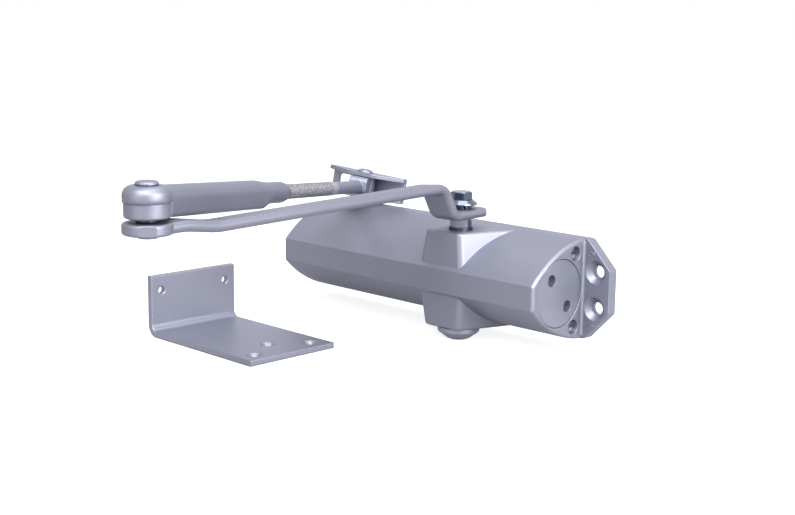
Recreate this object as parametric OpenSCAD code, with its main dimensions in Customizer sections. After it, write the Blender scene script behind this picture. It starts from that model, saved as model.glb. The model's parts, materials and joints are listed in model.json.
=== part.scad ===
// Overhead door closer: rack and pinion body, two-piece lever arm, frame shoe and angle bracket.
// Millimetres. The origin is the middle of the four fixing holes, on the face that meets the door.
// +Y points into the door, +X to the valve end and +Z up.

/* [Housing] */
// Length between the two end faces
body_l = 186.5; // [180:0.5:215]
// Height of the housing
body_h = 52; // [50:0.5:56]
// Depth from the door face to the narrow front band
body_d = 46.5; // [45.5:0.5:50]
// Height of the flat band along the front
band_h = 12.4; // [11:0.2:14]
// Radius of the long curved faces above and below the band
arc_r = 62.7; // [60:0.1:66]
// Flat strip on top, from the door face to the start of the curve
top_flat = 8.3; // [7:0.1:10]
// Rounding of the rim round each end face
rim_r = 1.5; // [0.5:0.1:2]

/* [Fixing lugs] */
// Reach of each lug beyond its end face
lug_l = 16.3; // [15:0.1:20]
// Thickness of the lug
lug_t = 5.8; // [5:0.1:7]
// Height of the lug at its outer end
lug_end_h = 22.6; // [21:0.2:28]
// Distance of the fixing holes beyond the end face
fix_out = 7.6; // [7:0.1:9]
// Height between the two fixing holes of a lug
fix_pitch_z = 19; // [16:0.5:20]
// Diameter of the fixing holes
fix_d = 6.6; // [5:0.1:7]
// Diameter of the countersinks
fix_sink_d = 12.2; // [10:0.1:12.6]

/* [Cylinder and end caps] */
// Distance of the cylinder bore's axis from the door face
bore_set = 24.7; // [24:0.1:26]
// Radius of the cylinder bore
bore_r = 15; // [14.5:0.1:15.4]
// Radius of an end cap's flange
cap_r = 17.3; // [17:0.1:17.4]
// Thickness of the flange
cap_flange = 6; // [5:0.5:8]
// Length of the plug behind the flange
cap_plug = 8; // [7:0.5:10]
// Gap round the flange
cap_gap = 0.3; // [0.2:0.05:0.4]
// Radius of the two spanner holes
spanner_r = 3.1; // [2.5:0.1:3.2]
// Distance of the spanner holes from the cap's axis
spanner_at = 9.8; // [9:0.1:10.5]
// Thickness of the sealing rings' cord
ring_cord = 2.2; // [1.8:0.1:2.4]

/* [Valve screws] */
// Distance of the valve screws from the door face
valve_set = 12.8; // [12.4:0.1:13]
// Height of the valve screws above and below the middle
valve_z = 19; // [18.8:0.1:19.2]
// Radius of the recess at each screw
valve_recess_r = 3.8; // [3.6:0.1:3.9]
// Depth of that recess
valve_recess = 5; // [4:0.5:6]
// Radius of the screw's shank
valve_r = 2.8; // [2.5:0.1:3]
// Length of the shank
valve_l = 22; // [18:1:28]

/* [Pinion] */
// Distance of the pinion from the middle of the housing
pinion_x = 32; // [30:0.5:34]
// Distance of the pinion from the door face
pinion_set = 32; // [31.5:0.1:32.5]
// Module of the pinion and rack teeth
gear_m = 1.5; // [1.45:0.01:1.55]
// Number of pinion teeth
gear_n = 10; // [10:1:10]
// Profile shift that keeps the few teeth from being undercut
gear_shift = 0.45; // [0.43:0.01:0.5]
// Height of the toothed part
gear_h = 18; // [16:0.5:20]
// Radius of the two bearing journals
journal_r = 6.2; // [6:0.1:6.3]
// Outer radius of the bearing sleeves
bearing_r = 9.5; // [9.4:0.1:9.8]
// Radius of the shaft where it leaves the housing
shaft_r = 5.7; // [5.4:0.1:6]
// Width across the flats of the square under the arm
square_w = 8.4; // [8:0.1:9]

/* [Piston and spring] */
// Length of each piston head
head_l = 13.7; // [10:0.1:14]
// Travel of the piston over the whole swing
stroke = 22.3; // [20:0.1:22.5]
// Thickness of the spring wire
wire_d = 5; // [3.4:0.1:5.4]
// Outer radius of the closing spring
spring_r = 14; // [13:0.1:14.2]
// Turns of the closing spring
spring_turns = 8; // [6:1:9]

/* [Main arm] */
// Distance between the pinion and the elbow
arm_l = 207.6; // [195:0.2:225]
// Width of the bar
arm_w = 17.5; // [15:0.5:19]
// Thickness of the bar
arm_t = 5; // [4.6:0.1:5.2]
// Tail of the arm past the pinion
arm_tail = 12; // [10.5:0.5:13]
// Height of the middle of the hub plate
hub_z = 34.6; // [34.4:0.1:35.2]
// Height of the middle of the bar at its lowest, near the elbow
arm_z = 47.6; // [47:0.1:48.2]
// Slope of the riser behind the hub
riser_a = 60; // [54:1:66]
// Slope of the raised bar, up towards the riser
bar_a = 0.8; // [0.4:0.1:1.2]
// Twist of the raised bar, which lifts the edge that faces the spindle's end
bar_twist = 6; // [0:0.5:8]
// Radius of the bends, to the middle of the bar
bend_r = 6.5; // [5.5:0.1:7.5]
// Radius of the round pad at the elbow
pad_r = 10.6; // [10:0.1:11.5]
// Lift of the pad above the bar
pad_lift = 2.9; // [2.4:0.1:3.2]
// Direction of the arm as photographed, from +X
arm_az = -86; // [-90:1:-80]

/* [Elbow] */
// Radius of the pin's neck
neck_r = 4.7; // [4.4:0.1:5]
// Radius of the pin inside the forearm's hub
pin_r = 3.5; // [3:0.1:3.8]
// Radius of the riveted heads
rivet_head_r = 4.9; // [4.6:0.1:5.5]
// Radius of the bush below the forearm's hub
bush_r = 9.7; // [9:0.1:10]
// Height of the bush
bush_h = 6.6; // [6:0.1:7]
// Height of the forearm's domed hub
dome_h = 6.8; // [6:0.1:7.5]
// Outer radius of the domed hub
dome_r = 10.2; // [9.8:0.1:10.6]

/* [Forearm] */
// Direction of the forearm as photographed, from +X
fore_az = 116.4; // [114:0.1:122]
// Slope of the forearm down towards its shoe
fore_drop = 5.64; // [5.5:0.02:5.7]
// Length of the deep channel, from the elbow
channel_l = 104; // [95:1:110]
// Height of the channel
channel_h = 13.2; // [12:0.1:13.4]
// Width of the channel
channel_w = 11.6; // [11:0.1:12.4]
// Wall of the pressed sheet
channel_wall = 2; // [1.6:0.1:2.2]
// Radius of the round nose that holds the rod
nose_r = 5.3; // [5:0.1:5.6]
// Distance of the end of the nose from the elbow
nose_end = 141; // [137:1:146]

/* [Rod and swivel block] */
// Radius of the threaded rod
rod_r = 3.85; // [3.5:0.05:4]
// Distance of the rod's outer end from the elbow
rod_end = 211; // [207:1:215]
// Distance between the elbow and the shoe's rivet
fore_l = 261; // [255:0.5:268]
// Radius of the swivel block
block_r = 6.5; // [6:0.1:6.8]
// Turn of the rod in the forearm as photographed
rod_roll = 7.2; // [5:0.1:8]

/* [Frame shoe] */
// Length of the shoe
shoe_l = 49; // [46:0.5:60]
// Distance from the rivet to the shoe's windowed end
shoe_left = 25.8; // [24:0.1:30]
// Height of the shoe over its two ears
shoe_h = 14.7; // [14.5:0.1:16]
// Thickness of the sheet
shoe_t = 2.2; // [1.8:0.1:2.3]
// Distance from the rivet to the inner side of the plate
shoe_set = 7.6; // [7.2:0.1:9]
// Reach of the ears in front of the rivet
ear_out = 6.2; // [5.5:0.1:7]
// Radius of the screw hole in the plate
shoe_hole_r = 1.8; // [1.6:0.1:2.2]
// Radius of the rivet's shank
shoe_pin_r = 2.5; // [2.2:0.1:2.8]
// Turn of the shoe on its rivet as photographed
shoe_turn = -100.9; // [-110:1:-92]

/* [Angle bracket] */
// Width of the bracket
angle_w = 55; // [50:0.5:70]
// Length of its flat leg
angle_l = 84.9; // [75:0.5:100]
// Height of its upright leg
angle_h = 32.3; // [28:0.5:45]
// Thickness of the sheet
angle_t = 3; // [2.5:0.1:4]
// Inner radius of the bend
angle_bend = 3.5; // [2.5:0.1:5]
// Distance between the two holes of the upright leg
upright_pitch = 42; // [38:0.5:44]
// Distance of those holes below the top edge
upright_down = 8.1; // [6:0.1:12]
// Radius of those holes
upright_hole_r = 2; // [1.8:0.1:3]
// Distance between the two outer holes of the flat leg
flat_pitch = 36.8; // [32:0.2:42]
// Distance of those holes from the free edge
flat_out = 8; // [7:0.1:12]
// Distance of the single hole behind them
flat_back = 11.6; // [10:0.2:16]
// Radius of the holes in the flat leg
flat_hole_r = 2.3; // [2:0.1:2.6]
// Radius of their countersinks
flat_sink_r = 4.2; // [3.8:0.1:4.6]

/* [Hidden] */
$fn = 64;
eps = 0.01;
run_gap = 0.05;

silver = "#a9abb8";
zinc = "#c3c8cc";
steel = "#8d9096";
rubber = "#26262a";
oiled = "#6d7076";

// Both curves pass through the edge of the front band and the edge of the top strip.
arc_dy = body_d - top_flat;
arc_dz = (body_h - band_h) / 2;
arc_half = norm([arc_dy, arc_dz]) / 2;
arc_drop = sqrt(pow(arc_r, 2) - pow(arc_half, 2));
arc_y = -(body_d + top_flat) / 2 + arc_drop * arc_dz / (2 * arc_half);
arc_z = (body_h + band_h) / 4 - arc_drop * arc_dy / (2 * arc_half);

end_x = body_l / 2;
fix_x = end_x + fix_out;
cap_sunk = 0.3;
cap_in = cap_sunk + cap_flange + cap_plug;
ring_at = cap_sunk + cap_flange + cap_plug / 2;

// Rack and pinion: the rack lies between the pinion and the door.
pressure_a = 20;
backlash = 0.16;
pitch_r = gear_m * gear_n / 2;
base_r = pitch_r * cos(pressure_a);
root_r = pitch_r - gear_m * (1.25 - gear_shift);
tip_r = min(pitch_r + gear_m * (1 + gear_shift) - 0.4, bearing_r - 0.2);
rack_ref = pitch_r + gear_shift * gear_m;
rack_tip = rack_ref - gear_m;
rack_root = rack_ref + 1.25 * gear_m;
rack_pitch = PI * gear_m;
window_lo = -tip_r - 1.3;
window_hi = tip_r + stroke + 1.3;
piston_lo = window_lo - head_l;
piston_hi = window_hi + head_l;
piston_r = bore_r - run_gap;

boss_shift = -2.5;
boss_front = 11.6;
boss_half = 12;
boss_back_half = 24;
boss_corner_r = 3.5;
boss_edge_r = 1.5;
boss_lean = 4;
boss_draft = 8;
boss_foot = 2;
lug_flat = 2;
lug_fillet = 1.3;
top_z = body_h / 2;
seal_h = 3;
lip_t = 1.2;
bearing_h = 9;
journal_gap = 0.3;
bearing_lo = gear_h / 2 + journal_gap;
journal_end = bearing_lo + bearing_h - 0.2;
hub_lo = hub_z - arm_t / 2;
hub_hi = hub_z + arm_t / 2;
clip_z = top_z + 0.5;
clip_t = 0.9;
pinion_cap_r = 11.2;
pinion_cap_h = 6.8;
bolt_r = 3;
bolt_hole_r = 2.6;
lock_t = 2.1;
cup_t = 2.7;

// Main arm: a bar bent up behind the hub and lifted a little at the elbow.
riser_at = 9.6;
top_bend = 9;
lift_a = 8;
lift_bend = 60;
pad_z = arm_z + pad_lift;
lift_end = arm_l - 9;
lift_l = (pad_lift - lift_bend * (1 + cos(bar_a) - 2 * cos(lift_a))) / sin(lift_a);
lift_to = [lift_end - lift_bend * sin(lift_a), pad_z - lift_bend * (1 - cos(lift_a))];
lift_from = lift_to - lift_l * [cos(lift_a), sin(lift_a)];
bar_from = lift_from - lift_bend * [sin(lift_a) + sin(bar_a), cos(bar_a) - cos(lift_a)];
riser_from = [riser_at, hub_z] + bend_r * [sin(riser_a), 1 - cos(riser_a)];
top_size = top_bend * [sin(riser_a) + sin(bar_a), cos(bar_a) - cos(riser_a)];
left_over = bar_from - riser_from - top_size;
riser_l = (left_over[1] + left_over[0] * tan(bar_a)) / (sin(riser_a) + cos(riser_a) * tan(bar_a));
riser_to = riser_from + riser_l * [cos(riser_a), sin(riser_a)];
pad_top = pad_z + arm_t / 2;
washer_h = 1;
neck_h = 0.9;
bush_lo = pad_top + washer_h + neck_h;
dome_lo = bush_lo + bush_h;
dome_top = dome_lo + dome_h;
rivet_head_h = 1.5;
fore_z = dome_top - channel_h / 2 - 0.1;

rod_in = channel_l + 10;
shoe_up = shoe_h / 2 + 1.05;
shoe_down = shoe_h - shoe_up;
block_up = shoe_up - shoe_t - 0.3;
block_down = shoe_down - shoe_t - 0.3;

angle_at = [pinion_x - 28.3 - angle_l, -pinion_set - 119.1, -pinion_cap_h - top_z];

module at_bore() { translate([0, -bore_set, 0]) children(); }
module at_pinion() { translate([pinion_x, -pinion_set, 0]) children(); }
module at_arm() { at_pinion() rotate([0, 0, arm_az]) children(); }
module at_elbow() { at_arm() translate([arm_l, 0, 0]) rotate([0, 0, fore_az - arm_az]) children(); }
module at_forearm() { at_elbow() translate([0, 0, fore_z]) rotate([0, fore_drop, 0]) children(); }
module at_rod() { at_forearm() rotate([rod_roll, 0, 0]) children(); }
module at_shoe() { at_rod() translate([fore_l, 0, 0]) rotate([0, 0, shoe_turn]) children(); }
module along_x() { rotate([0, 90, 0]) children(); }
module both_ends() { for (side = [0, 1]) mirror([side, 0, 0]) children(); }
module top_and_bottom() { for (side = [0, 1]) mirror([0, 0, side]) children(); }

module tube(outer, inner, h) {
    difference() {
        cylinder(r = outer, h = h);
        translate([0, 0, -1]) cylinder(r = inner, h = h + 2);
    }
}

module ring(r, cord) { rotate_extrude() translate([r, 0]) circle(d = cord, $fn = 32); }

// A polygon whose outer corners are rounded, each by its own radius.
corner_steps = 8;
function unit(v) = v / norm(v);
function heading(v) = atan2(v[1], v[0]);
function short_turn(a) = a > 180 ? a - 360 : a < -180 ? a + 360 : a;
function corner(before, at, after, r) = r == 0 ? [at] : let (
    half = acos(unit(before - at) * unit(after - at)) / 2,
    middle = at + r / sin(half) * unit(unit(before - at) + unit(after - at)),
    from = heading(at + r / tan(half) * unit(before - at) - middle),
    turn = short_turn(heading(at + r / tan(half) * unit(after - at) - middle) - from))
    [for (k = [0:corner_steps]) middle + r * [cos(from + turn * k / corner_steps),
                                              sin(from + turn * k / corner_steps)]];

module rounded(p, radii) {
    n = len(p);
    polygon([for (i = [0:n - 1]) each corner(p[(i + n - 1) % n], p[i], p[(i + 1) % n], radii[i])]);
}

// A square with its two outer corners rounded, from the axis out to r.
module round_section(r, half, corner) {
    translate([0, -half]) square([r - corner, 2 * half]);
    translate([0, corner - half]) square([r, 2 * (half - corner)]);
    for (side = [-1, 1]) translate([r - corner, side * (half - corner)]) circle(r = corner, $fn = 32);
}

module long_curve() {
    translate([0, arc_y, arc_z]) along_x() rotate_extrude($fn = 180) round_section(arc_r, end_x, rim_r);
}

module plan_block() {
    corner_x = end_x - rim_r;
    front_y = rim_r - body_d;
    linear_extrude(body_h, center = true) {
        translate([-end_x, front_y]) square([body_l, -front_y]);
        translate([-corner_x, -body_d]) square([2 * corner_x, body_d]);
        for (side = [-1, 1]) translate([side * corner_x, front_y]) circle(r = rim_r, $fn = 32);
    }
}

module barrel() {
    intersection() {
        long_curve();
        mirror([0, 0, 1]) long_curve();
        plan_block();
    }
}

module lug() {
    flat = end_x + lug_flat;
    far = end_x + lug_l;
    low = lug_end_h / 2;
    rotate([90, 0, 0]) linear_extrude(lug_t)
        rounded([[end_x - 6, -top_z], [flat, -top_z], [far, -low], [far, low], [flat, top_z],
                 [end_x - 6, top_z]], [0, 3, 2.5, 2.5, 3, 0]);
    translate([end_x, -lug_t, 0]) linear_extrude(body_h - 3, center = true) difference() {
        translate([-1, -lug_fillet]) square(lug_fillet + 1);
        translate([lug_fillet, -lug_fillet]) circle(r = lug_fillet, $fn = 48);
    }
}

// The boss has drafted sides and a rounded edge: [height, spread, lean, step in] of its outlines.
boss_steps = concat(
    [[boss_foot, (top_z - boss_foot) * tan(boss_draft), (top_z - boss_foot) * tan(boss_lean), 0]],
    [for (k = [0:4]) let (a = 90 * k / 4)
        [top_z - boss_edge_r * (1 - sin(a)) - 0.01, 0, 0, boss_edge_r * (1 - cos(a))]]);

module boss_outline(spread, lean, step_in) {
    back = pinion_set - lug_t;
    half = boss_half + spread - step_in;
    back_half = boss_back_half + spread - step_in;
    front = boss_front + lean - step_in;
    rounded([[-back_half, back], [-half, -front], [half, -front], [back_half, back]],
            [0, boss_corner_r, boss_corner_r, 0]);
}

module boss() {
    hull() for (at = boss_steps)
        translate([boss_shift, 0, at[0]]) linear_extrude(0.01) boss_outline(at[1], at[2], at[3]);
}

module fixing_hole(x, z) {
    sink = (fix_sink_d - fix_d) / 2;
    translate([x, 0, z]) rotate([90, 0, 0]) {
        translate([0, 0, -1]) cylinder(d = fix_d, h = lug_t + 2);
        translate([0, 0, lug_t - sink]) cylinder(d1 = fix_d, d2 = fix_sink_d + 2, h = sink + 1);
    }
}

module valve_bore(z) {
    translate([end_x, -valve_set, z]) rotate([0, -90, 0]) {
        translate([0, 0, -1]) cylinder(r = valve_recess_r, h = valve_recess + 1);
        cylinder(r = valve_r + run_gap, h = valve_recess + valve_l + 1);
        translate([0, 0, valve_recess + valve_l - 3]) mirror([z < 0 ? 1 : 0, 0, 0]) oil_way();
    }
}

// A drilling from the valve's seat to the cylinder.
module oil_way() {
    across = bore_set - valve_set;
    rotate([0, -90, atan2(across, valve_z)])
        cylinder(r = 1.2, h = norm([across, valve_z]) - bore_r + 2, $fn = 24);
}

module housing() {
    color(silver) difference() {
        union() {
            barrel();
            both_ends() lug();
            at_pinion() top_and_bottom() boss();
        }
        at_bore() along_x() translate([0, 0, -end_x - 1]) cylinder(r = bore_r, h = body_l + 2);
        both_ends() at_bore() along_x() translate([0, 0, end_x - cap_sunk - cap_flange])
            cylinder(r = cap_r + cap_gap, h = cap_flange + 2);
        at_pinion() {
            translate([0, 0, -top_z - 1]) cylinder(r = bearing_r, h = top_z + 1 + bearing_lo + bearing_h);
            translate([0, 0, -top_z - 1]) cylinder(r = shaft_r + 2.4, h = body_h + 1 - lip_t);
            cylinder(r = shaft_r + 0.5, h = top_z + 1);
        }
        for (z = [-valve_z, valve_z]) valve_bore(z);
        for (x = [-fix_x, fix_x], z = [-fix_pitch_z / 2, fix_pitch_z / 2]) fixing_hole(x, z);
    }
}

module end_cap() {
    color(silver) at_bore() along_x() difference() {
        union() {
            translate([0, 0, end_x - cap_sunk - cap_flange]) cylinder(r = cap_r, h = cap_flange);
            translate([0, 0, end_x - cap_in]) cylinder(r = bore_r - run_gap, h = cap_plug + eps);
        }
        translate([0, 0, end_x - ring_at - ring_cord * 0.65])
            tube(bore_r + 1, bore_r - ring_cord - run_gap, ring_cord * 1.3);
        for (turn = [0, 180]) rotate([0, 0, turn + 41.5]) translate([spanner_at, 0, end_x - 4.5])
            cylinder(r = spanner_r, h = 6);
        translate([0, 0, end_x - cap_in - 1]) cylinder(r = bore_r - 4.5, h = cap_plug);
    }
}

module cap_rings() {
    color(rubber) both_ends() at_bore() along_x() translate([0, 0, end_x - ring_at])
        ring(bore_r - ring_cord / 2 - run_gap / 2, ring_cord - run_gap);
}

module valve_screw(z) {
    color(steel) translate([end_x - valve_recess, -valve_set, z]) rotate([0, -90, 0]) difference() {
        union() {
            translate([0, 0, -2.6]) cylinder(r = valve_recess_r - 0.35, h = 2.4);
            translate([0, 0, -0.4]) cylinder(r = valve_r, h = valve_l - 3.6);
            translate([0, 0, valve_l - 4.01]) cylinder(r1 = valve_r, r2 = 0.8, h = 3.2);
        }
        translate([-0.5, -valve_recess_r, -3]) cube([1, 2 * valve_recess_r, 1.7]);
        translate([0, 0, 6]) tube(valve_r + 1, valve_r - 0.9, 1.5);
    }
}

module valve_rings() {
    color(rubber) for (z = [-valve_z, valve_z])
        translate([end_x - valve_recess - 6.75, -valve_set, z]) along_x() ring(valve_r - 0.44, 0.86);
}

module upper_bearing() {
    color(oiled) at_pinion() translate([0, 0, bearing_lo])
        tube(bearing_r - 0.02, journal_r + run_gap, bearing_h - 0.1);
}

module lower_bearing() {
    color(oiled) at_pinion() translate([0, 0, -bearing_lo - bearing_h])
        tube(bearing_r - 0.02, journal_r + run_gap, bearing_h - 0.1);
}

module shaft_seal() {
    color(rubber) at_pinion() translate([0, 0, top_z - lip_t - seal_h])
        tube(shaft_r + 2.38, shaft_r + run_gap, seal_h - 0.02);
}

module pinion_cap() {
    plug = top_z - bearing_lo - bearing_h - 0.2;
    color(silver) at_pinion() translate([0, 0, -top_z]) difference() {
        rotate_extrude() polygon([[0, plug], [bearing_r - run_gap, plug], [bearing_r - run_gap, 0],
            [pinion_cap_r, 0], [pinion_cap_r, -2.1], [pinion_cap_r - 0.6, -2.9], [6.4, -6],
            [4.9, -pinion_cap_h + 0.15], [4.2, -pinion_cap_h], [0, -pinion_cap_h]]);
        translate([0, 0, plug - 2.4]) tube(bearing_r + 1, bearing_r - 1.4, 1.6);
        translate([0, 0, plug - 2]) cylinder(r = journal_r + 0.4, h = 3);
    }
}

module pinion_cap_ring() {
    color(rubber) at_pinion() translate([0, 0, -bearing_lo - bearing_h - 1.8]) ring(bearing_r - 0.7, 1.36);
}

// Half the angle of a tooth at radius r, in degrees.
function involute(a) = tan(a) * 180 / PI - a;
pitch_half = (PI / 2 + 2 * gear_shift * tan(pressure_a) - backlash / gear_m) * 180 / (PI * gear_n);
function tooth_half(r) = pitch_half + involute(pressure_a) - involute(acos(min(1, base_r / r)));
function polar(r, a) = [r * cos(a), r * sin(a)];
flank_steps = 7;
flank = [for (i = [0:flank_steps]) base_r + (tip_r - base_r) * i / flank_steps];

module pinion_teeth() {
    teeth = [for (k = [0:gear_n - 1]) let (mid = 90 + 360 * k / gear_n) each concat(
        [polar(root_r, mid - tooth_half(base_r) - 0.5)],
        [for (i = [0:flank_steps]) polar(flank[i], mid - tooth_half(flank[i]))],
        [for (i = [0:flank_steps]) polar(flank[flank_steps - i], mid + tooth_half(flank[flank_steps - i]))],
        [polar(root_r, mid + tooth_half(base_r) + 0.5)])];
    linear_extrude(gear_h, center = true) polygon(teeth);
}

module pinion_shaft() {
    color(steel) at_pinion() difference() {
        union() {
            pinion_teeth();
            cylinder(r = journal_r, h = 2 * journal_end, center = true);
            translate([0, 0, journal_end - 1]) cylinder(r = shaft_r, h = hub_lo - journal_end + 1);
            rotate([0, 0, arm_az]) translate([-square_w / 2, -square_w / 2, hub_lo - eps])
                cube([square_w, square_w, arm_t - 0.3]);
        }
        translate([0, 0, clip_z]) tube(shaft_r + 1, shaft_r - 0.5, clip_t + 0.1);
        translate([0, 0, hub_lo - 12]) cylinder(r = bolt_hole_r, h = 20);
    }
}

module shaft_clip() {
    color(rubber) at_pinion() translate([0, 0, clip_z + 0.05]) difference() {
        cylinder(r = shaft_r + 0.6, h = clip_t);
        translate([0, 0, -1]) cylinder(r = shaft_r - 0.48, h = 4);
        translate([-0.9, 0, -1]) cube([1.8, 12, 4]);
    }
}

// The rack's profile: one space for each pitch, the first under the pinion.
module rack_teeth() {
    lean = tan(pressure_a);
    half = rack_pitch / 4;
    at_root = half - lean * 1.25 * gear_m;
    at_tip = half + lean * gear_m;
    first = ceil((window_lo + 2) / rack_pitch);
    last = floor((window_hi - 2) / rack_pitch);
    linear_extrude(4 * bore_r, center = true) difference() {
        translate([window_lo - 1, rack_tip]) square([window_hi - window_lo + 2, 2 * bore_r]);
        for (k = [first:last]) translate([k * rack_pitch, 0])
            polygon([[-at_tip - lean, rack_tip - 1], [at_tip + lean, rack_tip - 1],
                     [at_root, rack_root], [-at_root, rack_root]]);
    }
}

module piston() {
    ball_y = 6;
    color(steel) intersection() {
        at_bore() translate([pinion_x + piston_lo, 0, 0]) along_x()
            cylinder(r = piston_r, h = piston_hi - piston_lo);
        difference() {
            at_pinion() union() {
                difference() {
                    rack_teeth();
                    top_and_bottom() translate([window_lo - 2, 0, gear_h / 2])
                        cube([window_hi - window_lo + 4, bearing_r + 0.4, bore_r]);
                }
                for (x = [piston_lo, window_hi]) translate([x, -2 * bore_r, -2 * bore_r])
                    cube([head_l, 5 * bore_r, 4 * bore_r]);
            }
            translate([pinion_x + window_hi - 2, -bore_set + ball_y, 0]) along_x() {
                cylinder(r = 1.4, h = head_l + 4);
                translate([0, 0, 5]) cylinder(r = 2.7, h = head_l);
            }
            translate([pinion_x + piston_lo - 1, -bore_set, 0]) along_x() cylinder(r = bore_r - 6.5, h = 4);
        }
    }
}

module check_ball() {
    color(zinc) translate([pinion_x + window_hi + 5.6, 6 - bore_set, 0]) sphere(r = 2.3, $fn = 32);
}

module check_plug() {
    color(steel) translate([pinion_x + window_hi + 9, 6 - bore_set, 0]) along_x() tube(2.68, 1.1, 2.8);
}

// Closing spring: one round wire swept along a helix between the left cap and the piston.
spring_lo = -end_x + cap_in;
spring_hi = pinion_x + piston_lo;
spring_run = spring_hi - spring_lo - wire_d - 0.1;
spring_mid_r = spring_r - wire_d / 2;
spring_rings = 20;
wire_sides = 8;

module closing_spring() {
    count = spring_turns * spring_rings;
    pitch_slope = spring_run / (2 * PI * spring_mid_r * spring_turns);
    points = [for (i = [0:count]) let (a = 360 * i / spring_rings, x = spring_run * i / count)
        for (j = [0:wire_sides - 1]) let (b = 360 * j / wire_sides, out = spring_mid_r + wire_d / 2 * cos(b),
            along = wire_d / 2 * sin(b), round = along * pitch_slope)
            [x + along, out * cos(a) + round * sin(a), out * sin(a) - round * cos(a)]];
    sides = [for (i = [0:count - 1], j = [0:wire_sides - 1]) let (a = i * wire_sides + j,
        b = i * wire_sides + (j + 1) % wire_sides, c = a + wire_sides, d = b + wire_sides)
        each [[a, b, c], [b, d, c]]];
    last = count * wire_sides;
    caps = [for (j = [1:wire_sides - 2]) each [[0, j + 1, j], [last, last + j, last + j + 1]]];
    color(oiled) translate([spring_lo + wire_d / 2 + 0.05, -bore_set, 0])
        polyhedron(points = points, faces = concat(sides, caps));
}

// Flat bar with rounded edges, seen along its length: [sideways, up].
edge_steps = 8;
function bar_outline(step_in) = [for (side = [0, 180], k = [0:edge_steps])
    let (a = side - 90 + 180 * k / edge_steps, r = arm_t / 2 - step_in)
    [(arm_w - arm_t) / 2 * (side == 0 ? 1 : -1) + r * cos(a), r * sin(a)]];

// Stations of the bar as [along, up, slope, twist, step in]: an arc from one slope to another.
bend_steps = 9;
function bend(start, r, from, to, twist_0 = 0, twist_1 = 0) = [for (k = [0:bend_steps])
    let (t = from + (to - from) * k / bend_steps, way = to > from ? 1 : -1)
    [start[0] + way * r * (sin(t) - sin(from)), start[1] + way * r * (cos(from) - cos(t)), t,
     twist_0 + (twist_1 - twist_0) * k / bend_steps, 0]];
bar_path = concat(
    [[-arm_tail, hub_z, 0, 0, 1], [0.3 - arm_tail, hub_z, 0, 0, 0.3], [1 - arm_tail, hub_z, 0, 0, 0]],
    bend([riser_at, hub_z], bend_r, 0, riser_a),
    bend(riser_to, top_bend, riser_a, -bar_a, 0, bar_twist),
    bend(bar_from, lift_bend, -bar_a, lift_a, bar_twist, bar_twist / 2),
    bend(lift_to, lift_bend, lift_a, 0, bar_twist / 2, 0),
    [[arm_l, pad_z, 0, 0, 0]]);

module bar() {
    n = 2 * (edge_steps + 1);
    last = (len(bar_path) - 1) * n;
    points = [for (at = bar_path, o = bar_outline(at[4]))
        let (side = o[0] * cos(at[3]) - o[1] * sin(at[3]), up = o[0] * sin(at[3]) + o[1] * cos(at[3]))
        [at[0] - up * sin(at[2]), side, at[1] + up * cos(at[2])]];
    sides = [for (i = [0:len(bar_path) - 2], j = [0:n - 1]) let (a = i * n + j, b = i * n + (j + 1) % n)
        each [[a, a + n, b], [b, a + n, b + n]]];
    ends = [for (j = [1:n - 2]) each [[0, j, j + 1], [last, last + j + 1, last + j]]];
    polyhedron(points = points, faces = concat(sides, ends));
}

module pad() {
    edge = 1.2;
    half = arm_t / 2;
    rotate_extrude() {
        translate([0, -half]) square([pad_r - edge, arm_t]);
        translate([0, edge - half]) square([pad_r, arm_t - 2 * edge]);
        for (side = [-1, 1]) translate([pad_r - edge, side * (half - edge)]) circle(r = edge, $fn = 32);
    }
}

module tail_corners() {
    corner = 2.6;
    for (side = [0, 1]) mirror([0, side, 0]) translate([-arm_tail, arm_w / 2 + 0.2]) difference() {
        translate([-1, -corner]) square([corner + 1, corner + 1]);
        translate([corner, -corner]) circle(r = corner);
    }
}

module main_arm() {
    color(silver) at_arm() difference() {
        union() {
            bar();
            translate([arm_l, 0, pad_z]) pad();
        }
        translate([0, 0, hub_lo - 1]) linear_extrude(arm_t + 2) tail_corners();
        translate([-square_w / 2 - run_gap, -square_w / 2 - run_gap, hub_lo - 1])
            cube([square_w + 2 * run_gap, square_w + 2 * run_gap, arm_t + 2]);
        translate([arm_l, 0, pad_z - arm_t]) cylinder(r = pin_r + run_gap, h = 2 * arm_t);
        translate([arm_l, 0, pad_z - arm_t]) rotate([0, 0, 51]) translate([pad_r - 0.7, -5, 0])
            cube([5, 10, 2 * arm_t]);
    }
}

module spindle_bolt() {
    low = hub_hi + lock_t + cup_t;
    color(zinc) at_pinion() difference() {
        union() {
            translate([0, 0, low]) cylinder(r = 5.7, h = 4.3, $fn = 6);
            translate([0, 0, hub_lo - 10]) cylinder(r = bolt_hole_r - 0.03, h = low - hub_lo + 10 + eps);
        }
        translate([0, 0, low + 4.3]) difference() {
            translate([0, 0, -1]) cylinder(r = 8, h = 2);
            translate([0, 0, -1 - eps]) cylinder(r1 = 6.7, r2 = 4.2, h = 1.5);
        }
    }
}

module cup_washer() {
    color(zinc) at_pinion() translate([0, 0, hub_hi + lock_t]) difference() {
        rotate_extrude()
            polygon([[bolt_r, 0.3], [8, 0], [8.4, 0.4], [8.3, 0.9], [6.1, cup_t], [bolt_r, cup_t]]);
        translate([0, 0, -1]) cylinder(r = bolt_r + 0.1, h = 5);
    }
}

module lock_washer() {
    color(steel) at_pinion() translate([0, 0, hub_hi]) difference() {
        tube(5.2, bolt_r + 0.1, lock_t);
        rotate([0, 0, -20]) translate([0, -0.5, -1]) rotate([20, 0, 0]) cube([8, 1, 5]);
    }
}

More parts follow.
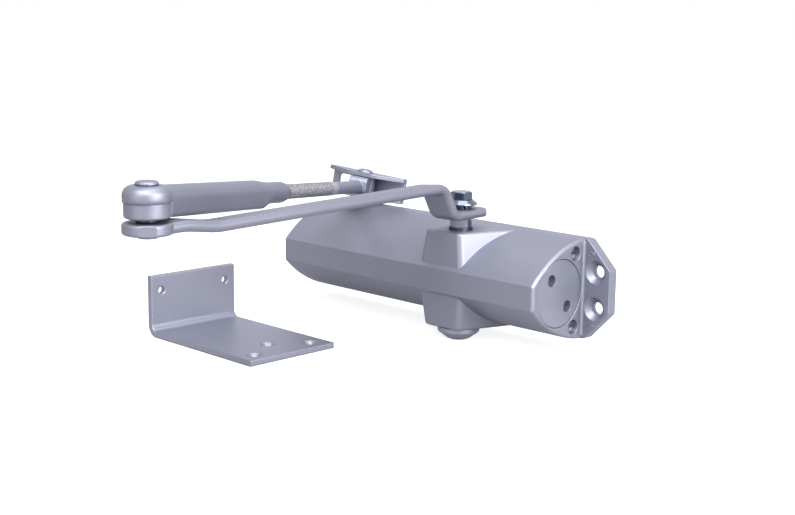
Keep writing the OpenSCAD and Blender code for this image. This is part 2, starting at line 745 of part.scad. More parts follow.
module elbow_pin() {
    color(silver) at_arm() translate([arm_l, 0, 0]) {
        low = pad_z - arm_t / 2;
        translate([0, 0, low - rivet_head_h]) rivet_head();
        translate([0, 0, low - eps]) cylinder(r = pin_r, h = dome_top + 0.2 - low + 2 * eps);
        translate([0, 0, pad_top + washer_h]) cylinder(r = neck_r, h = neck_h + bush_h - 0.2);
        translate([0, 0, dome_top + 0.2 + rivet_head_h]) mirror([0, 0, 1]) rivet_head();
    }
}

module rivet_head() {
    rotate_extrude() polygon([[0, 0], [rivet_head_r - 0.8, 0], [rivet_head_r - 0.2, 0.35],
        [rivet_head_r, 0.9], [rivet_head_r, rivet_head_h], [0, rivet_head_h]]);
}

module elbow_washer() {
    color(zinc) at_arm() translate([arm_l, 0, pad_top]) tube(6.2, pin_r + run_gap, washer_h);
}

module elbow_bush() {
    color(silver) at_elbow() translate([0, 0, bush_lo]) difference() {
        rotate_extrude() {
            square([bush_r - 1, bush_h]);
            translate([0, 1]) square([bush_r, bush_h - 1]);
            translate([bush_r - 1, 1]) circle(r = 1, $fn = 32);
        }
        translate([0, 0, -1]) cylinder(r = neck_r + run_gap, h = bush_h + 2);
    }
}

// The channel seen along the forearm: a round crown over two straight sides.
module channel_section(w, h) {
    translate([h / 2 - w / 2, 0]) circle(d = w);
    translate([-h / 2, -w / 2]) square([h - w / 2, w]);
}

module dome() {
    corner = 4;
    rotate_extrude() intersection() {
        union() {
            square([dome_r - corner, dome_h]);
            square([dome_r, dome_h - corner]);
            translate([dome_r - corner, dome_h - corner]) circle(r = corner);
        }
        square([dome_r, dome_h]);
    }
}

module forearm() {
    from = 6;
    taper_l = 14;
    difference() {
        color(silver) union() {
            at_elbow() translate([0, 0, dome_lo]) dome();
            at_forearm() {
                translate([from, 0, 0]) along_x() rotate([0, 0, 180]) linear_extrude(channel_l - from)
                    channel_section(channel_w, channel_h);
                hull() {
                    translate([channel_l - 1, 0, 0]) along_x() rotate([0, 0, 180]) linear_extrude(1)
                        channel_section(channel_w, channel_h, $fn = 32);
                    translate([channel_l + taper_l, 0, 0]) along_x() cylinder(r = nose_r, h = 1, $fn = 32);
                }
                translate([channel_l, 0, 0]) along_x() {
                    cylinder(r = nose_r, h = nose_end - channel_l - 5);
                    translate([0, 0, nose_end - channel_l - 5 - eps])
                        cylinder(r1 = nose_r, r2 = rod_r + 0.6, h = 5);
                }
            }
        }
        at_forearm() {
            translate([dome_r + 3, 0, -channel_wall]) along_x() rotate([0, 0, 180])
                linear_extrude(channel_l - dome_r - 8)
                    channel_section(channel_w - 2 * channel_wall, channel_h);
            translate([channel_l - 10, 0, 0]) along_x() cylinder(r = rod_r + 0.2, h = nose_end);
        }
        at_elbow() {
            translate([0, 0, bush_lo - 8]) cylinder(r = bush_r + 1, h = dome_lo - bush_lo + 8);
            cylinder(r = pin_r + run_gap, h = dome_top + 10);
        }
    }
}

module threaded_rod() {
    color(zinc) at_rod() translate([rod_in, 0, 0]) along_x() {
        cylinder(r = rod_r, h = rod_end - rod_in - 1);
        translate([0, 0, rod_end - rod_in - 1 - eps]) cylinder(r1 = rod_r, r2 = rod_r - 0.9, h = 1);
    }
}

block_cheek = 5.4;
block_l = 10.5;

module swivel_block() {
    neck = rod_r - 0.25;
    color(silver) at_rod() difference() {
        union() {
            translate([rod_end, 0, 0]) along_x() cylinder(r = neck, h = fore_l - rod_end);
            intersection() {
                translate([fore_l - block_r - 5, 0, 0]) along_x()
                    cylinder(r1 = neck, r2 = neck + 1.4, h = 8);
                translate([0, -block_r, -block_down]) cube([fore_l, 2 * block_r, block_up + block_down]);
            }
            translate([fore_l, 0, -block_down]) cylinder(r = block_r, h = block_up + block_down);
            translate([fore_l, block_cheek, 0]) rotate([90, 0, 0]) linear_extrude(2 * block_cheek)
                rounded([[0, block_up], [-block_l, block_up], [-block_l, -block_down], [0, -block_down]],
                        [0, 3, 3, 0]);
        }
        translate([fore_l, 0, -block_down - 1]) cylinder(r = shoe_pin_r + run_gap, h = shoe_h);
    }
}

module shoe_rivet() {
    color(silver) at_shoe() {
        translate([0, 0, -shoe_down - 0.9]) cylinder(r = shoe_pin_r, h = shoe_h + 1);
        translate([0, 0, shoe_up]) rotate_extrude()
            polygon([[0, 0], [4.7, 0], [4.6, 0.7], [3.6, 1.6], [2, 2], [0, 2]]);
        translate([0, 0, -shoe_down - 1]) cylinder(r = 4, h = 1);
    }
}

// The shoe: a plate with one ear above and one below, each widest at the rivet.
shoe_right = shoe_l - shoe_left;
ear_end = 4.4;
ear_tip = 2;
window_l = 9.5;

module ear_outline() {
    back = shoe_set + shoe_t;
    rounded([[-shoe_left - ear_tip, back], [-shoe_left - ear_tip, back - ear_end], [-ear_out - 3, -ear_out],
             [ear_out + 3, -ear_out], [shoe_right, back - ear_end], [shoe_right, back]],
            [0, 0.8, 7, 7, 0.8, 0]);
}

module frame_shoe() {
    color(silver) at_shoe() difference() {
        union() {
            translate([0, 0, shoe_up - shoe_t]) linear_extrude(shoe_t) ear_outline();
            translate([0, 0, -shoe_down]) linear_extrude(shoe_t) ear_outline();
            translate([-shoe_left, shoe_set, -shoe_down]) cube([shoe_l, shoe_t, shoe_h]);
        }
        translate([0, 0, -shoe_down - 1]) cylinder(r = shoe_pin_r + 0.02, h = shoe_h + 2);
        translate([0, shoe_set - 1, 0]) rotate([-90, 0, 0]) {
            translate([shoe_right - 6, 0, 0]) cylinder(r = shoe_hole_r, h = shoe_t + 2);
            linear_extrude(shoe_t + 2) shoe_window();
        }
    }
}

module shoe_window() {
    left = 4 - shoe_left;
    right = left + window_l;
    low = shoe_down - shoe_t - 0.3;
    high = shoe_t + 1.7 - shoe_up;
    rounded([[left, low], [left, high], [right, high], [right, low]], [2, 2, 2, 2]);
}

module angle_bracket() {
    color(silver) translate(angle_at) difference() {
        translate([0, angle_w, 0]) rotate([90, 0, 0]) linear_extrude(angle_w) {
            outer = angle_bend + angle_t;
            translate([outer, 0]) square([angle_l - outer, angle_t]);
            translate([0, outer]) square([angle_t, angle_h - outer]);
            intersection() {
                square(outer);
                translate([outer, outer]) difference() {
                    circle(r = outer);
                    circle(r = angle_bend);
                }
            }
        }
        for (side = [-1, 1]) {
            translate([-1, angle_w / 2 + side * upright_pitch / 2, angle_h - upright_down]) along_x()
                cylinder(r = upright_hole_r, h = angle_t + 2);
            sunk_hole(angle_l - flat_out, angle_w / 2 + side * flat_pitch / 2);
        }
        sunk_hole(angle_l - flat_out - flat_back, angle_w / 2);
    }
}

module sunk_hole(x, y) {
    sink = flat_sink_r - flat_hole_r;
    translate([x, y, -1]) cylinder(r = flat_hole_r, h = angle_t + 2);
    translate([x, y, angle_t - sink]) cylinder(r1 = flat_hole_r, r2 = flat_sink_r + 1, h = sink + 1);
}

housing();
end_cap();  // end_cap_right
mirror([1, 0, 0]) end_cap();  // end_cap_left
cap_rings();
valve_screw(-valve_z);  // valve_screw_1
valve_screw(valve_z);  // valve_screw_2
valve_rings();
upper_bearing();
lower_bearing();
shaft_seal();
pinion_cap();
pinion_cap_ring();
piston();
check_ball();
check_plug();
closing_spring();
pinion_shaft();
shaft_clip();
main_arm();
spindle_bolt();
cup_washer();
lock_washer();
elbow_pin();
elbow_washer();
elbow_bush();
forearm();
threaded_rod();
swivel_block();
shoe_rivet();
frame_shoe();
angle_bracket();
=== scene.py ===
import json
import math

import bpy
from mathutils import Matrix, Vector


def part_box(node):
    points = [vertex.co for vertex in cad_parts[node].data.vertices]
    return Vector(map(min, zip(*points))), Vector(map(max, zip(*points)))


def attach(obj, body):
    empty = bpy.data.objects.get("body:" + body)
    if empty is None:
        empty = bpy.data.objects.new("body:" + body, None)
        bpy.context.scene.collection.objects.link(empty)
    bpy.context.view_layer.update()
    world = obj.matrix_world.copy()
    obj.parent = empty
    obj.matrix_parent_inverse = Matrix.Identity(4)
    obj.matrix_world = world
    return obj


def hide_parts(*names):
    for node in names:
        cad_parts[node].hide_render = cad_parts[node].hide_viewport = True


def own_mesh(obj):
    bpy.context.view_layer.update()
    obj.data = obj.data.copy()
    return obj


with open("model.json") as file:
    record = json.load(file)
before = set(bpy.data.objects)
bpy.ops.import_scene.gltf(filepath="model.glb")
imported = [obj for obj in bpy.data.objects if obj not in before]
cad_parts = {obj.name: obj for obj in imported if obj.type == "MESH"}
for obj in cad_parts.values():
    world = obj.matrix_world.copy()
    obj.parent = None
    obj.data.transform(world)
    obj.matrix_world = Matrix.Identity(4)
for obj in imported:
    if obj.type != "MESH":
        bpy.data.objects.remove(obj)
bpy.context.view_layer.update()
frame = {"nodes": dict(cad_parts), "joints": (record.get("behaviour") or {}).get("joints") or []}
nodes = frame["nodes"]

FLOOR_Z = -0.0328
WHITE = (1.0, 1.0, 1.0, 1.0)

# Camera: solved from straight edges and heights in the photograph.
camera = bpy.data.cameras.new("camera")
camera.sensor_fit = "HORIZONTAL"
camera.sensor_width = 36.0
camera.lens = 61.17
camera.clip_start = 0.01
camera.clip_end = 50.0
camera_object = bpy.data.objects.new("camera", camera)
bpy.context.collection.objects.link(camera_object)
camera_place = (0.50096, -0.55436, 0.14179)
right = Vector((0.70990962, 0.70414969, 0.01419644))
up = Vector((-0.13969628, 0.12102525, 0.98277049))
ahead = Vector((-0.69029941, 0.69966142, -0.18428408))
camera_object.matrix_world = Matrix.Translation(camera_place) @ Matrix(
    (
        (right.x, up.x, -ahead.x, 0),
        (right.y, up.y, -ahead.y, 0),
        (right.z, up.z, -ahead.z, 0),
        (0, 0, 0, 1),
    )
)
bpy.context.scene.camera = camera_object


class Nodes:
    """Adds nodes to a node tree and links them by socket name."""

    def __init__(self, tree):
        self.tree = tree
        tree.nodes.clear()

    def add(self, kind, inputs=None, **settings):
        node = self.tree.nodes.new(kind)
        for name, value in settings.items():
            setattr(node, name, value)
        for name, value in (inputs or {}).items():
            self.feed(node.inputs[name], value)
        return node

    def feed(self, socket, value):
        """Links the socket to another node's output, or sets its value."""
        if isinstance(value, bpy.types.NodeSocket):
            self.tree.links.new(value, socket)
        else:
            socket.default_value = value

    def noise(self, where, scale, detail=3.0, roughness=0.55):
        return self.add(
            "ShaderNodeTexNoise",
            {"Vector": where, "Scale": scale, "Detail": detail, "Roughness": roughness},
        ).outputs["Fac"]

    def spread(self, value, low, high, start=0.0, end=1.0):
        return self.add(
            "ShaderNodeMapRange",
            {"Value": value, "From Min": start, "From Max": end, "To Min": low, "To Max": high},
        ).outputs["Result"]

    def maths(self, operation, a, b=0.0):
        node = self.add("ShaderNodeMath", operation=operation)
        self.feed(node.inputs[0], a)
        self.feed(node.inputs[1], b)
        return node.outputs[0]

    def mix_colour(self, factor, a, b):
        """The colour a at factor 0 and b at factor 1. Sockets 6, 7 and 2 are the node's colour ones."""
        node = self.add("ShaderNodeMix", data_type="RGBA")
        self.feed(node.inputs[0], factor)
        self.feed(node.inputs[6], a)
        self.feed(node.inputs[7], b)
        return node.outputs[2]


def material(name):
    made = bpy.data.materials.new(name)
    made.use_nodes = True
    return made, Nodes(made.node_tree)


def shade(colour, amount):
    return tuple(min(1.0, c * amount) for c in colour) + (1.0,)


# Noise scales, in waves per metre of the part.
FLAKE_SCALE = 2600.0
CLOUD_SCALE = 22.0
PEEL_SCALE = 420.0
TOOL_MARK_SCALE = 900.0
STAIN_SCALE = 60.0
GRIME_SCALE = 1500.0
SPECK_SCALE = 5200.0
RUBBER_SCALE = 1500.0

PAINT_METALLIC = 0.72
PAINT_SPECULAR = (0.86, 0.88, 1.0, 1.0)


def painted(name, colour, peel, soft, rough=0.40):
    """Silver metallic paint: fine bright flakes over a slightly uneven coat, with eased edges."""
    made, n = material(name)
    where = n.add("ShaderNodeTexCoord").outputs["Object"]
    flakes = n.noise(where, FLAKE_SCALE, 2.0, 0.6)
    cloud = n.noise(where, CLOUD_SCALE, 4.0)
    flake_tone = n.spread(flakes, -0.05, 0.05, 0.3, 0.7)
    cloud_tone = n.spread(cloud, -0.025, 0.025, 0.3, 0.7)
    tone = n.spread(n.maths("ADD", flake_tone, cloud_tone), 0.0, 1.0, -0.2, 0.2)
    base = n.mix_colour(tone, shade(colour, 0.8), shade(colour, 1.2))
    uneven = n.maths("ADD", n.spread(flakes, -0.05, 0.05), n.spread(cloud, -0.04, 0.04))
    eased = n.add("ShaderNodeBevel", {"Radius": soft}, samples=8).outputs[0]
    waves = n.add(
        "ShaderNodeBump",
        {"Strength": peel, "Distance": 0.0006, "Height": n.noise(where, PEEL_SCALE, 3.0), "Normal": eased},
    ).outputs[0]
    fine = n.add(
        "ShaderNodeBump", {"Strength": 0.06, "Distance": 0.0001, "Height": flakes, "Normal": waves}
    ).outputs[0]
    shader = n.add(
        "ShaderNodeBsdfPrincipled",
        {
            "Base Color": base,
            "Metallic": PAINT_METALLIC,
            "Roughness": n.maths("ADD", rough, uneven),
            "Specular Tint": PAINT_SPECULAR,
            "Normal": fine,
        },
    )
    n.add("ShaderNodeOutputMaterial", {"Surface": shader.outputs[0]})
    return made


def metal(name, colour, rough, soft=0.0002):
    """Plated or machined metal with fine tool marks and slight stains."""
    made, n = material(name)
    where = n.add("ShaderNodeTexCoord").outputs["Object"]
    marks = n.noise(where, TOOL_MARK_SCALE, 4.0, 0.7)
    stain = n.noise(where, STAIN_SCALE, 4.0)
    base = n.mix_colour(n.spread(stain, 0.0, 1.0, 0.3, 0.7), shade(colour, 0.82), shade(colour, 1.12))
    uneven = n.maths("ADD", n.spread(marks, -0.08, 0.08), n.spread(stain, -0.05, 0.05))
    roughness = n.maths("ADD", rough, uneven)
    eased = n.add("ShaderNodeBevel", {"Radius": soft}, samples=4).outputs[0]
    bump = n.add(
        "ShaderNodeBump", {"Strength": 0.05, "Distance": 0.0002, "Height": marks, "Normal": eased}
    ).outputs[0]
    shader = n.add(
        "ShaderNodeBsdfPrincipled",
        {"Base Color": base, "Metallic": 1.0, "Roughness": roughness, "Normal": bump},
    )
    n.add("ShaderNodeOutputMaterial", {"Surface": shader.outputs[0]})
    return made


def worn_thread(name):
    """Zinc on a rolled thread: worn bright in spots, dark grime in patches, and painted shade darkening the
    grooves.
    """
    made, n = material(name)
    where = n.add("ShaderNodeTexCoord").outputs["Object"]
    patches = n.spread(n.noise(where, GRIME_SCALE, 3.0, 0.6), 0.0, 1.0, 0.42, 0.60)
    specks = n.noise(where, SPECK_SCALE, 2.0)
    offset = n.add("ShaderNodeVectorMath", {0: where, 1: shoe_pin}, operation="SUBTRACT").outputs[0]
    from_axis = n.add("ShaderNodeVectorMath", {0: offset, 1: rod_way}, operation="CROSS_PRODUCT").outputs[0]
    radius = n.add("ShaderNodeVectorMath", {0: from_axis}, operation="LENGTH").outputs["Value"]
    # Painted shade: the colour darkens from each crest down into the groove.
    crest = n.spread(radius, 0.25, 1.0, ROD_R - THREAD_DEPTH, ROD_R)
    along = n.add("ShaderNodeVectorMath", {0: offset, 1: rod_way}, operation="DOT_PRODUCT").outputs["Value"]
    thread_end = -ROD_OUTER - ROD_PLAIN
    plain = n.spread(along, 0.0, 1.0, thread_end - 0.002, thread_end + 0.001)
    wear_and_crest_light = n.maths("MULTIPLY", n.maths("MULTIPLY", patches, crest), n.spread(specks, 0.6, 1.2))
    base = n.mix_colour(n.maths("MAXIMUM", wear_and_crest_light, plain), GRIME_AND_GROOVE_SHADE, WORN_ZINC)
    bump = n.add("ShaderNodeBump", {"Strength": 0.3, "Distance": 0.0003, "Height": patches}).outputs[0]
    shader = n.add(
        "ShaderNodeBsdfPrincipled",
        {"Base Color": base, "Metallic": 0.6, "Roughness": n.spread(specks, 0.45, 0.6), "Normal": bump},
    )
    n.add("ShaderNodeOutputMaterial", {"Surface": shader.outputs[0]})
    return made


def rubber(name, colour):
    made, n = material(name)
    where = n.add("ShaderNodeTexCoord").outputs["Object"]
    grain = n.noise(where, RUBBER_SCALE, 3.0)
    base = n.mix_colour(grain, shade(colour, 0.7), shade(colour, 1.5))
    bump = n.add("ShaderNodeBump", {"Strength": 0.1, "Distance": 0.0002, "Height": grain}).outputs[0]
    shader = n.add(
        "ShaderNodeBsdfPrincipled",
        {"Base Color": base, "Roughness": n.spread(grain, 0.5, 0.7), "Normal": bump},
    )
    n.add("ShaderNodeOutputMaterial", {"Surface": shader.outputs[0]})
    return made


SILVER = (0.218, 0.224, 0.280)
DEEP_SILVER = (0.192, 0.197, 0.246)
PALE_SILVER = (0.240, 0.246, 0.304)
# Dark zinc: grime in patches, and painted shade in the thread grooves.
GRIME_AND_GROOVE_SHADE = (0.085, 0.085, 0.095, 1.0)
WORN_ZINC = (0.29, 0.29, 0.33, 1.0)
cast_paint = painted("silver_cast_paint", SILVER, rough=0.46, peel=0.10, soft=0.0007)
cap_paint = painted("silver_cap_paint", PALE_SILVER, peel=0.06, soft=0.0003)
arm_paint = painted("silver_arm_paint", DEEP_SILVER, rough=0.47, peel=0.04, soft=0.0009)
forearm_paint = painted("silver_forearm_paint", DEEP_SILVER, rough=0.45, peel=0.04, soft=0.0030)
sheet_paint = painted("silver_sheet_paint", SILVER, peel=0.04, soft=0.0006)
bracket_paint = painted("silver_bracket_paint", PALE_SILVER, peel=0.04, soft=0.0012)
zinc = metal("zinc_plate", (0.140, 0.165, 0.225), 0.15, soft=0.0004)
bright_steel = metal("bright_steel", (0.185, 0.195, 0.235), 0.12)
washer_steel = metal("washer_steel", (0.18, 0.205, 0.26), 0.18)
steel = metal("machined_steel", (0.40, 0.41, 0.44), 0.28)
valve_steel = metal("valve_steel", (0.50, 0.52, 0.56), 0.25)
# Dark steel: the own colour of lock washer, clip and spring, and painted shade on the elbow's neck and
# washer.
dark_steel = metal("oiled_steel", (0.07, 0.07, 0.08), 0.38)
bronze = metal("sintered_bronze", (0.42, 0.28, 0.13), 0.45)
black = rubber("black_rubber", (0.02, 0.02, 0.022))

looks = {
    "housing": cast_paint,
    "end_cap_right": cap_paint,
    "end_cap_left": cap_paint,
    "pinion_cap": cap_paint,
    "main_arm": arm_paint,
    "forearm": forearm_paint,
    "elbow_pin": arm_paint,
    "elbow_bush": arm_paint,
    "swivel_block": cast_paint,
    "shoe_rivet": sheet_paint,
    "frame_shoe": sheet_paint,
    "angle_bracket": bracket_paint,
    # The hidden washer's dark steel is painted shade for the gap under the bush.
    "elbow_washer": dark_steel,
    "spindle_bolt": zinc,
    "cup_washer": washer_steel,
    "lock_washer": dark_steel,
    "pinion_shaft": bright_steel,
    "shaft_clip": dark_steel,
    "threaded_rod": zinc,
    "valve_screw_1": valve_steel,
    "valve_screw_2": valve_steel,
    "piston": steel,
    "check_ball": bright_steel,
    "check_plug": steel,
    "closing_spring": dark_steel,
    "upper_bearing": bronze,
    "lower_bearing": bronze,
    "shaft_seal": black,
    "cap_rings": black,
    "valve_rings": black,
    "pinion_cap_ring": black,
}
for name, look in looks.items():
    for place in nodes[name].material_slots:
        place.link = "OBJECT"
        place.material = look
    if not nodes[name].material_slots:
        nodes[name].data.materials.append(look)

joints = {joint["name"]: joint for joint in frame["joints"]}


def tube_faces(rings, sides, right_handed=False):
    """Faces of a tube with two caps. Its points come ring by ring and turn left or right about its way."""
    faces = []
    for i in range(rings - 1):
        for k in range(sides):
            a = i * sides + k
            b = i * sides + (k + 1) % sides
            faces.append((a, b, b + sides, a + sides) if right_handed else (a, a + sides, b + sides, b))
    first = tuple(range(sides))
    last = tuple(range((rings - 1) * sides, rings * sides))
    return faces + ([first[::-1], last] if right_handed else [first, last[::-1]])


def new_piece(name, points, faces, look):
    mesh = bpy.data.meshes.new(name)
    mesh.from_pydata(points, [], faces)
    mesh.update()
    mesh.materials.append(look)
    piece = bpy.data.objects.new(name, mesh)
    bpy.context.collection.objects.link(piece)
    return piece


# The rod with its rolled thread: metres along its axis, measured from the shoe's pin.
shoe_pin = Vector(joints["shoe_swivel"]["pos_m"])
rod_way = Vector(joints["rod_adjust"]["axis"]).normalized()
ROD_INNER = 0.147
ROD_OUTER = 0.050
ROD_PLAIN = 0.0075
ROD_R = 0.00382
THREAD_DEPTH = 0.00070
THREAD_PITCH = 0.00125
ROWS_A_TURN = 6
SIDES = 32
CREST_SHARE = 0.12
FLANK_SHARE = 0.7
RUN_OUT = 0.0016
# The rounded end: distance before the end, and how far the radius has come in.
ROUNDED_END = ((0.0012, 0.0), (0.0007, 0.00012), (0.0003, 0.0004), (0.0, 0.0009))


def thread_radius(along, turn, length):
    """Radius at a place of the rod: a crest, a flank, a root and a flank in each pitch."""
    phase = (along / THREAD_PITCH - turn) % 1.0
    cut = min(1.0, max(0.0, (abs(2.0 * phase - 1.0) - CREST_SHARE) / FLANK_SHARE))
    fade = min(1.0, max(0.0, (length - along) / RUN_OUT))
    return ROD_R - THREAD_DEPTH * cut * fade


def threaded_rod():
    side = rod_way.cross(Vector((0, 0, 1))).normalized()
    over = side.cross(rod_way).normalized()
    start = shoe_pin - rod_way * ROD_INNER
    whole = ROD_INNER - ROD_OUTER
    threaded = whole - ROD_PLAIN
    step = THREAD_PITCH / ROWS_A_TURN
    stations = [(i * step, None) for i in range(int(threaded / step) + 1)]
    stations += [(whole - back, ROD_R - inward) for back, inward in ROUNDED_END]
    points = []
    for along, fixed in stations:
        for k in range(SIDES):
            turn = k / SIDES
            radius = fixed or thread_radius(along, turn, threaded)
            angle = 2.0 * math.pi * turn
            outward = side * math.cos(angle) + over * math.sin(angle)
            points.append(start + rod_way * along + outward * radius)
    piece = new_piece("rod_thread", points, tube_faces(len(stations), SIDES), worn_thread("worn_thread"))
    piece.data.shade_smooth()
    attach(piece, "rod")
    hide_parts("threaded_rod")


threaded_rod()

# The pin's slim neck under the bush, in the place of the flat washer. Its dark steel is painted shade for
# the gap between bush and pad.
NECK_LOW = 0.0530
NECK_HIGH = 0.0549
NECK_INNER = 0.00472
NECK_OUTER = 0.00490
NECK_EASE = 0.00008
NECK_SIDES = 64


def elbow_neck():
    elbow = Vector(joints["elbow_swing"]["pos_m"])
    profile = (
        (NECK_INNER, NECK_LOW),
        (NECK_OUTER - NECK_EASE, NECK_LOW),
        (NECK_OUTER, NECK_LOW + NECK_EASE),
        (NECK_OUTER, NECK_HIGH - NECK_EASE),
        (NECK_OUTER - NECK_EASE, NECK_HIGH),
        (NECK_INNER, NECK_HIGH),
    )
    points = []
    for k in range(NECK_SIDES):
        angle = 2.0 * math.pi * k / NECK_SIDES
        for radius, z in profile:
            points.append((elbow.x + radius * math.cos(angle), elbow.y + radius * math.sin(angle), z))
    faces = []
    size = len(profile)
    for k in range(NECK_SIDES):
        for i in range(size):
            a = k * size + i
            b = k * size + (i + 1) % size
            c = ((k + 1) % NECK_SIDES) * size + (i + 1) % size
            d = ((k + 1) % NECK_SIDES) * size + i
            faces.append((a, d, c, b))
    piece = new_piece("elbow_neck", points, faces, dark_steel)
    piece.data.shade_smooth()
    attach(piece, "spindle")
    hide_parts("elbow_washer")


elbow_neck()

# The spindle's bolt, with a chamfered head turned as in the photograph.
HEAD_CORNER_R = 0.0057
HEAD_TOP_R = 0.0046
HEAD_HEIGHT = 0.0043
SHANK_R = 0.00257
HEAD_TURN = math.radians(30)
CHAMFER_SLOPE = math.tan(math.radians(30))
HEAD_SIDES = 24


def hexagon_radius(angle):
    """Radius of the hexagon at an angle from one of its corners."""
    return HEAD_CORNER_R * math.cos(math.pi / 6) / math.cos(angle % (math.pi / 3) - math.pi / 6)


def bolt():
    low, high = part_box("spindle_bolt")
    middle_x, middle_y = joints["spindle_turn"]["pos_m"][:2]
    head_low = high[2] - HEAD_HEIGHT
    angles = [2 * math.pi * k / HEAD_SIDES for k in range(HEAD_SIDES)]
    across = [hexagon_radius(angle) for angle in angles]
    rings = (
        [(SHANK_R, low[2])] * HEAD_SIDES,
        [(SHANK_R, head_low)] * HEAD_SIDES,
        [(radius, head_low) for radius in across],
        [(radius, high[2] - (radius - HEAD_TOP_R) * CHAMFER_SLOPE) for radius in across],
        [(HEAD_TOP_R, high[2])] * HEAD_SIDES,
    )
    points = []
    for ring in rings:
        for (radius, z), angle in zip(ring, angles):
            turn = angle + HEAD_TURN
            points.append((middle_x + radius * math.cos(turn), middle_y + radius * math.sin(turn), z))
    piece = new_piece("hexagon_bolt", points, tube_faces(len(rings), HEAD_SIDES, right_handed=True), zinc)
    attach(piece, "spindle")
    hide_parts("spindle_bolt")


bolt()

# The closing spring again, as a coil of its own; in the closer the piston pushes it against the left cap.
SPRING_WIRE_R = 0.0025
SPRING_MEAN_R = 0.0115
SPRING_TURNS = 8
COIL_STEPS = 24
WIRE_SIDES = 12


def spring():
    low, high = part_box("closing_spring")
    middle_y = (low[1] + high[1]) / 2
    middle_z = (low[2] + high[2]) / 2
    first = low[0] + SPRING_WIRE_R
    run = high[0] - low[0] - 2 * SPRING_WIRE_R
    count = SPRING_TURNS * COIL_STEPS
    rise = run / (2 * math.pi * SPRING_TURNS * SPRING_MEAN_R)
    points = []
    for i in range(count + 1):
        turn = 2 * math.pi * i / COIL_STEPS
        outward = Vector((0, math.cos(turn), math.sin(turn)))
        onward = Vector((rise, -math.sin(turn), math.cos(turn))).normalized()
        across = outward.cross(onward)
        centre = Vector((first + run * i / count, middle_y, middle_z)) + outward * SPRING_MEAN_R
        for k in range(WIRE_SIDES):
            angle = 2 * math.pi * k / WIRE_SIDES
            points.append(centre + (outward * math.cos(angle) + across * math.sin(angle)) * SPRING_WIRE_R)
    piece = new_piece("spring_coil", points, tube_faces(count + 1, WIRE_SIDES), dark_steel)
    piece.data.shade_smooth()
    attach(piece, "closer_body")
    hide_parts("closing_spring")
    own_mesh(piece)


spring()

# Plain numbers beside the two valves, raised a little from the lug and read from the side.
LUG_FACE_Y = -0.0058
NUMBER_HEIGHT = 0.0040
NUMBER_RISE = 0.00018
NUMBER_EDGE = 0.00008
CAPITAL_SHARE = 0.7


def number(text, x, z):
    """Raises a number from the lug, with its middle at x and z."""
    curve = bpy.data.curves.new("valve_number_" + text, "FONT")
    curve.body = text
    curve.size = NUMBER_HEIGHT / CAPITAL_SHARE
    curve.align_x = "CENTER"
    curve.align_y = "CENTER"
    curve.extrude = NUMBER_RISE
    curve.bevel_depth = NUMBER_EDGE
    holder = bpy.data.objects.new("number_curve", curve)
    bpy.context.collection.objects.link(holder)
    bpy.context.view_layer.update()
    shape = holder.evaluated_get(bpy.context.evaluated_depsgraph_get())
    mesh = bpy.data.meshes.new_from_object(shape)
    bpy.data.objects.remove(holder)
    standing = Matrix(((0, -1, 0, x), (0, 0, -1, LUG_FACE_Y), (1, 0, 0, z), (0, 0, 0, 1)))
    mesh.transform(standing)
    # The paler cap paint on the numbers is a painted highlight against the lug.
    mesh.materials.clear()
    mesh.materials.append(cap_paint)
    piece = bpy.data.objects.new("valve_number_" + text, mesh)
    bpy.context.collection.objects.link(piece)
    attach(piece, "closer_body")


number("2", 0.09815, 0.01878)
number("1", 0.09939, -0.01847)

# Floor: grey with the object's shadow, and white to the camera through a glow that grows with distance.
FLOOR_SIZE = 12.0
FLOOR_COLOUR = (0.4, 0.4, 0.4, 1.0)
GLOW_NEAR = 0.85
GLOW_FAR = 1.0
GLOW_STARTS = 0.6
GLOW_ENDS = 2.5
GLOW_MIRRORED = 0.3


def seen_directly_or_mirrored(n, path):
    """1 for the camera's rays and for those that metal and glass send on, 0 for the light on the object."""
    seen = n.maths("MAXIMUM", path.outputs["Is Camera Ray"], path.outputs["Is Glossy Ray"])
    return n.maths("MAXIMUM", seen, path.outputs["Is Transmission Ray"])


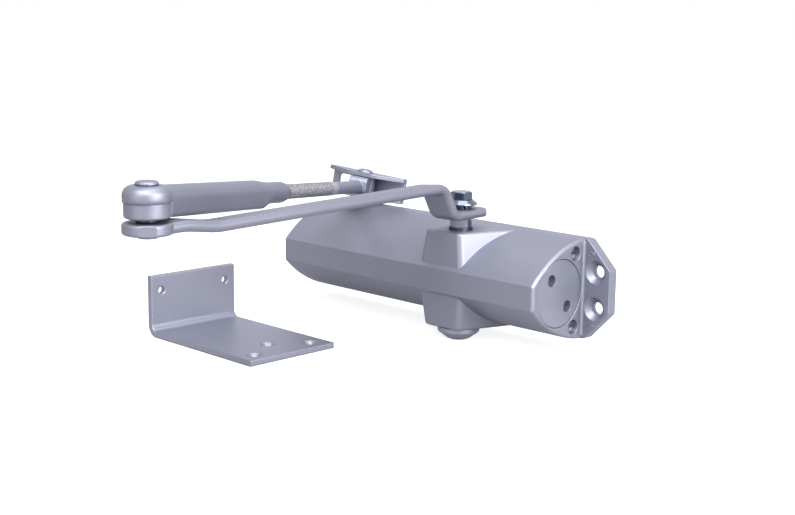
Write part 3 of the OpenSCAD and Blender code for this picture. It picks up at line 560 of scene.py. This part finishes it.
made, n = material("floor_white")
path = n.add("ShaderNodeLightPath")
seen = seen_directly_or_mirrored(n, path)
flat = n.add("ShaderNodeBsdfDiffuse", {"Color": FLOOR_COLOUR})
position = n.add("ShaderNodeNewGeometry").outputs["Position"]
distance = n.add("ShaderNodeVectorMath", {0: position}, operation="LENGTH").outputs["Value"]
glow_far = n.spread(distance, GLOW_NEAR, GLOW_FAR, GLOW_STARTS, GLOW_ENDS)
glow_seen = n.maths("MULTIPLY", path.outputs["Is Camera Ray"], glow_far)
mirrored = n.maths("SUBTRACT", seen, path.outputs["Is Camera Ray"])
glow_mirrored = n.maths("MULTIPLY", mirrored, GLOW_MIRRORED)
glow = n.add(
    "ShaderNodeEmission",
    {"Color": WHITE, "Strength": n.maths("ADD", glow_seen, glow_mirrored)},
)
both = n.add("ShaderNodeAddShader", {0: flat.outputs[0], 1: glow.outputs[0]})
n.add("ShaderNodeOutputMaterial", {"Surface": both.outputs[0]})
bpy.ops.mesh.primitive_plane_add(size=FLOOR_SIZE, location=(0, 0, FLOOR_Z - 0.0001))
floor = bpy.context.object
floor.name = "floor"
floor.data.materials.append(made)

# World: a white backdrop to the camera and in reflections, a plain fill for everything else.
FILL_COLOUR = (0.98, 0.97, 1.0, 1.0)
FILL_STRENGTH = 0.3
world = bpy.data.worlds.new("studio")
bpy.context.scene.world = world
world.use_nodes = True
n = Nodes(world.node_tree)
seen = seen_directly_or_mirrored(n, n.add("ShaderNodeLightPath"))
backdrop = n.add("ShaderNodeBackground", {"Color": WHITE, "Strength": 1.0})
fill = n.add("ShaderNodeBackground", {"Color": FILL_COLOUR, "Strength": FILL_STRENGTH})
mixed = n.add("ShaderNodeMixShader", {0: seen, 1: fill.outputs[0], 2: backdrop.outputs[0]})
n.add("ShaderNodeOutputWorld", {"Surface": mixed.outputs[0]})


def lamp(name, place, target, size, power):
    light = bpy.data.lights.new(name, "AREA")
    light.shape = "RECTANGLE"
    light.size, light.size_y = size
    light.energy = power
    holder = bpy.data.objects.new(name, light)
    holder.location = place
    holder.rotation_mode = "QUATERNION"
    holder.rotation_quaternion = (Vector(target) - Vector(place)).to_track_quat("-Z", "Y")
    holder.visible_camera = False
    bpy.context.collection.objects.link(holder)


# Name, place, target, size and power in watts.
lamp("softbox_right", (0.93, -0.06, 0.30), (0.0, -0.08, 0.02), (0.75, 0.75), 15.4)
lamp("softbox_above", (0.10, 0.10, 1.10), (0.0, -0.05, 0.0), (0.9, 0.7), 6.5)
lamp("softbox_front", (0.36, -0.65, 0.85), (0.0, -0.15, 0.0), (0.8, 0.8), 17.0)
lamp("softbox_low", (0.15, -0.95, 0.12), (0.0, -0.05, 0.0), (0.5, 0.3), 1.0)

bpy.context.scene.view_settings.view_transform = "Standard"
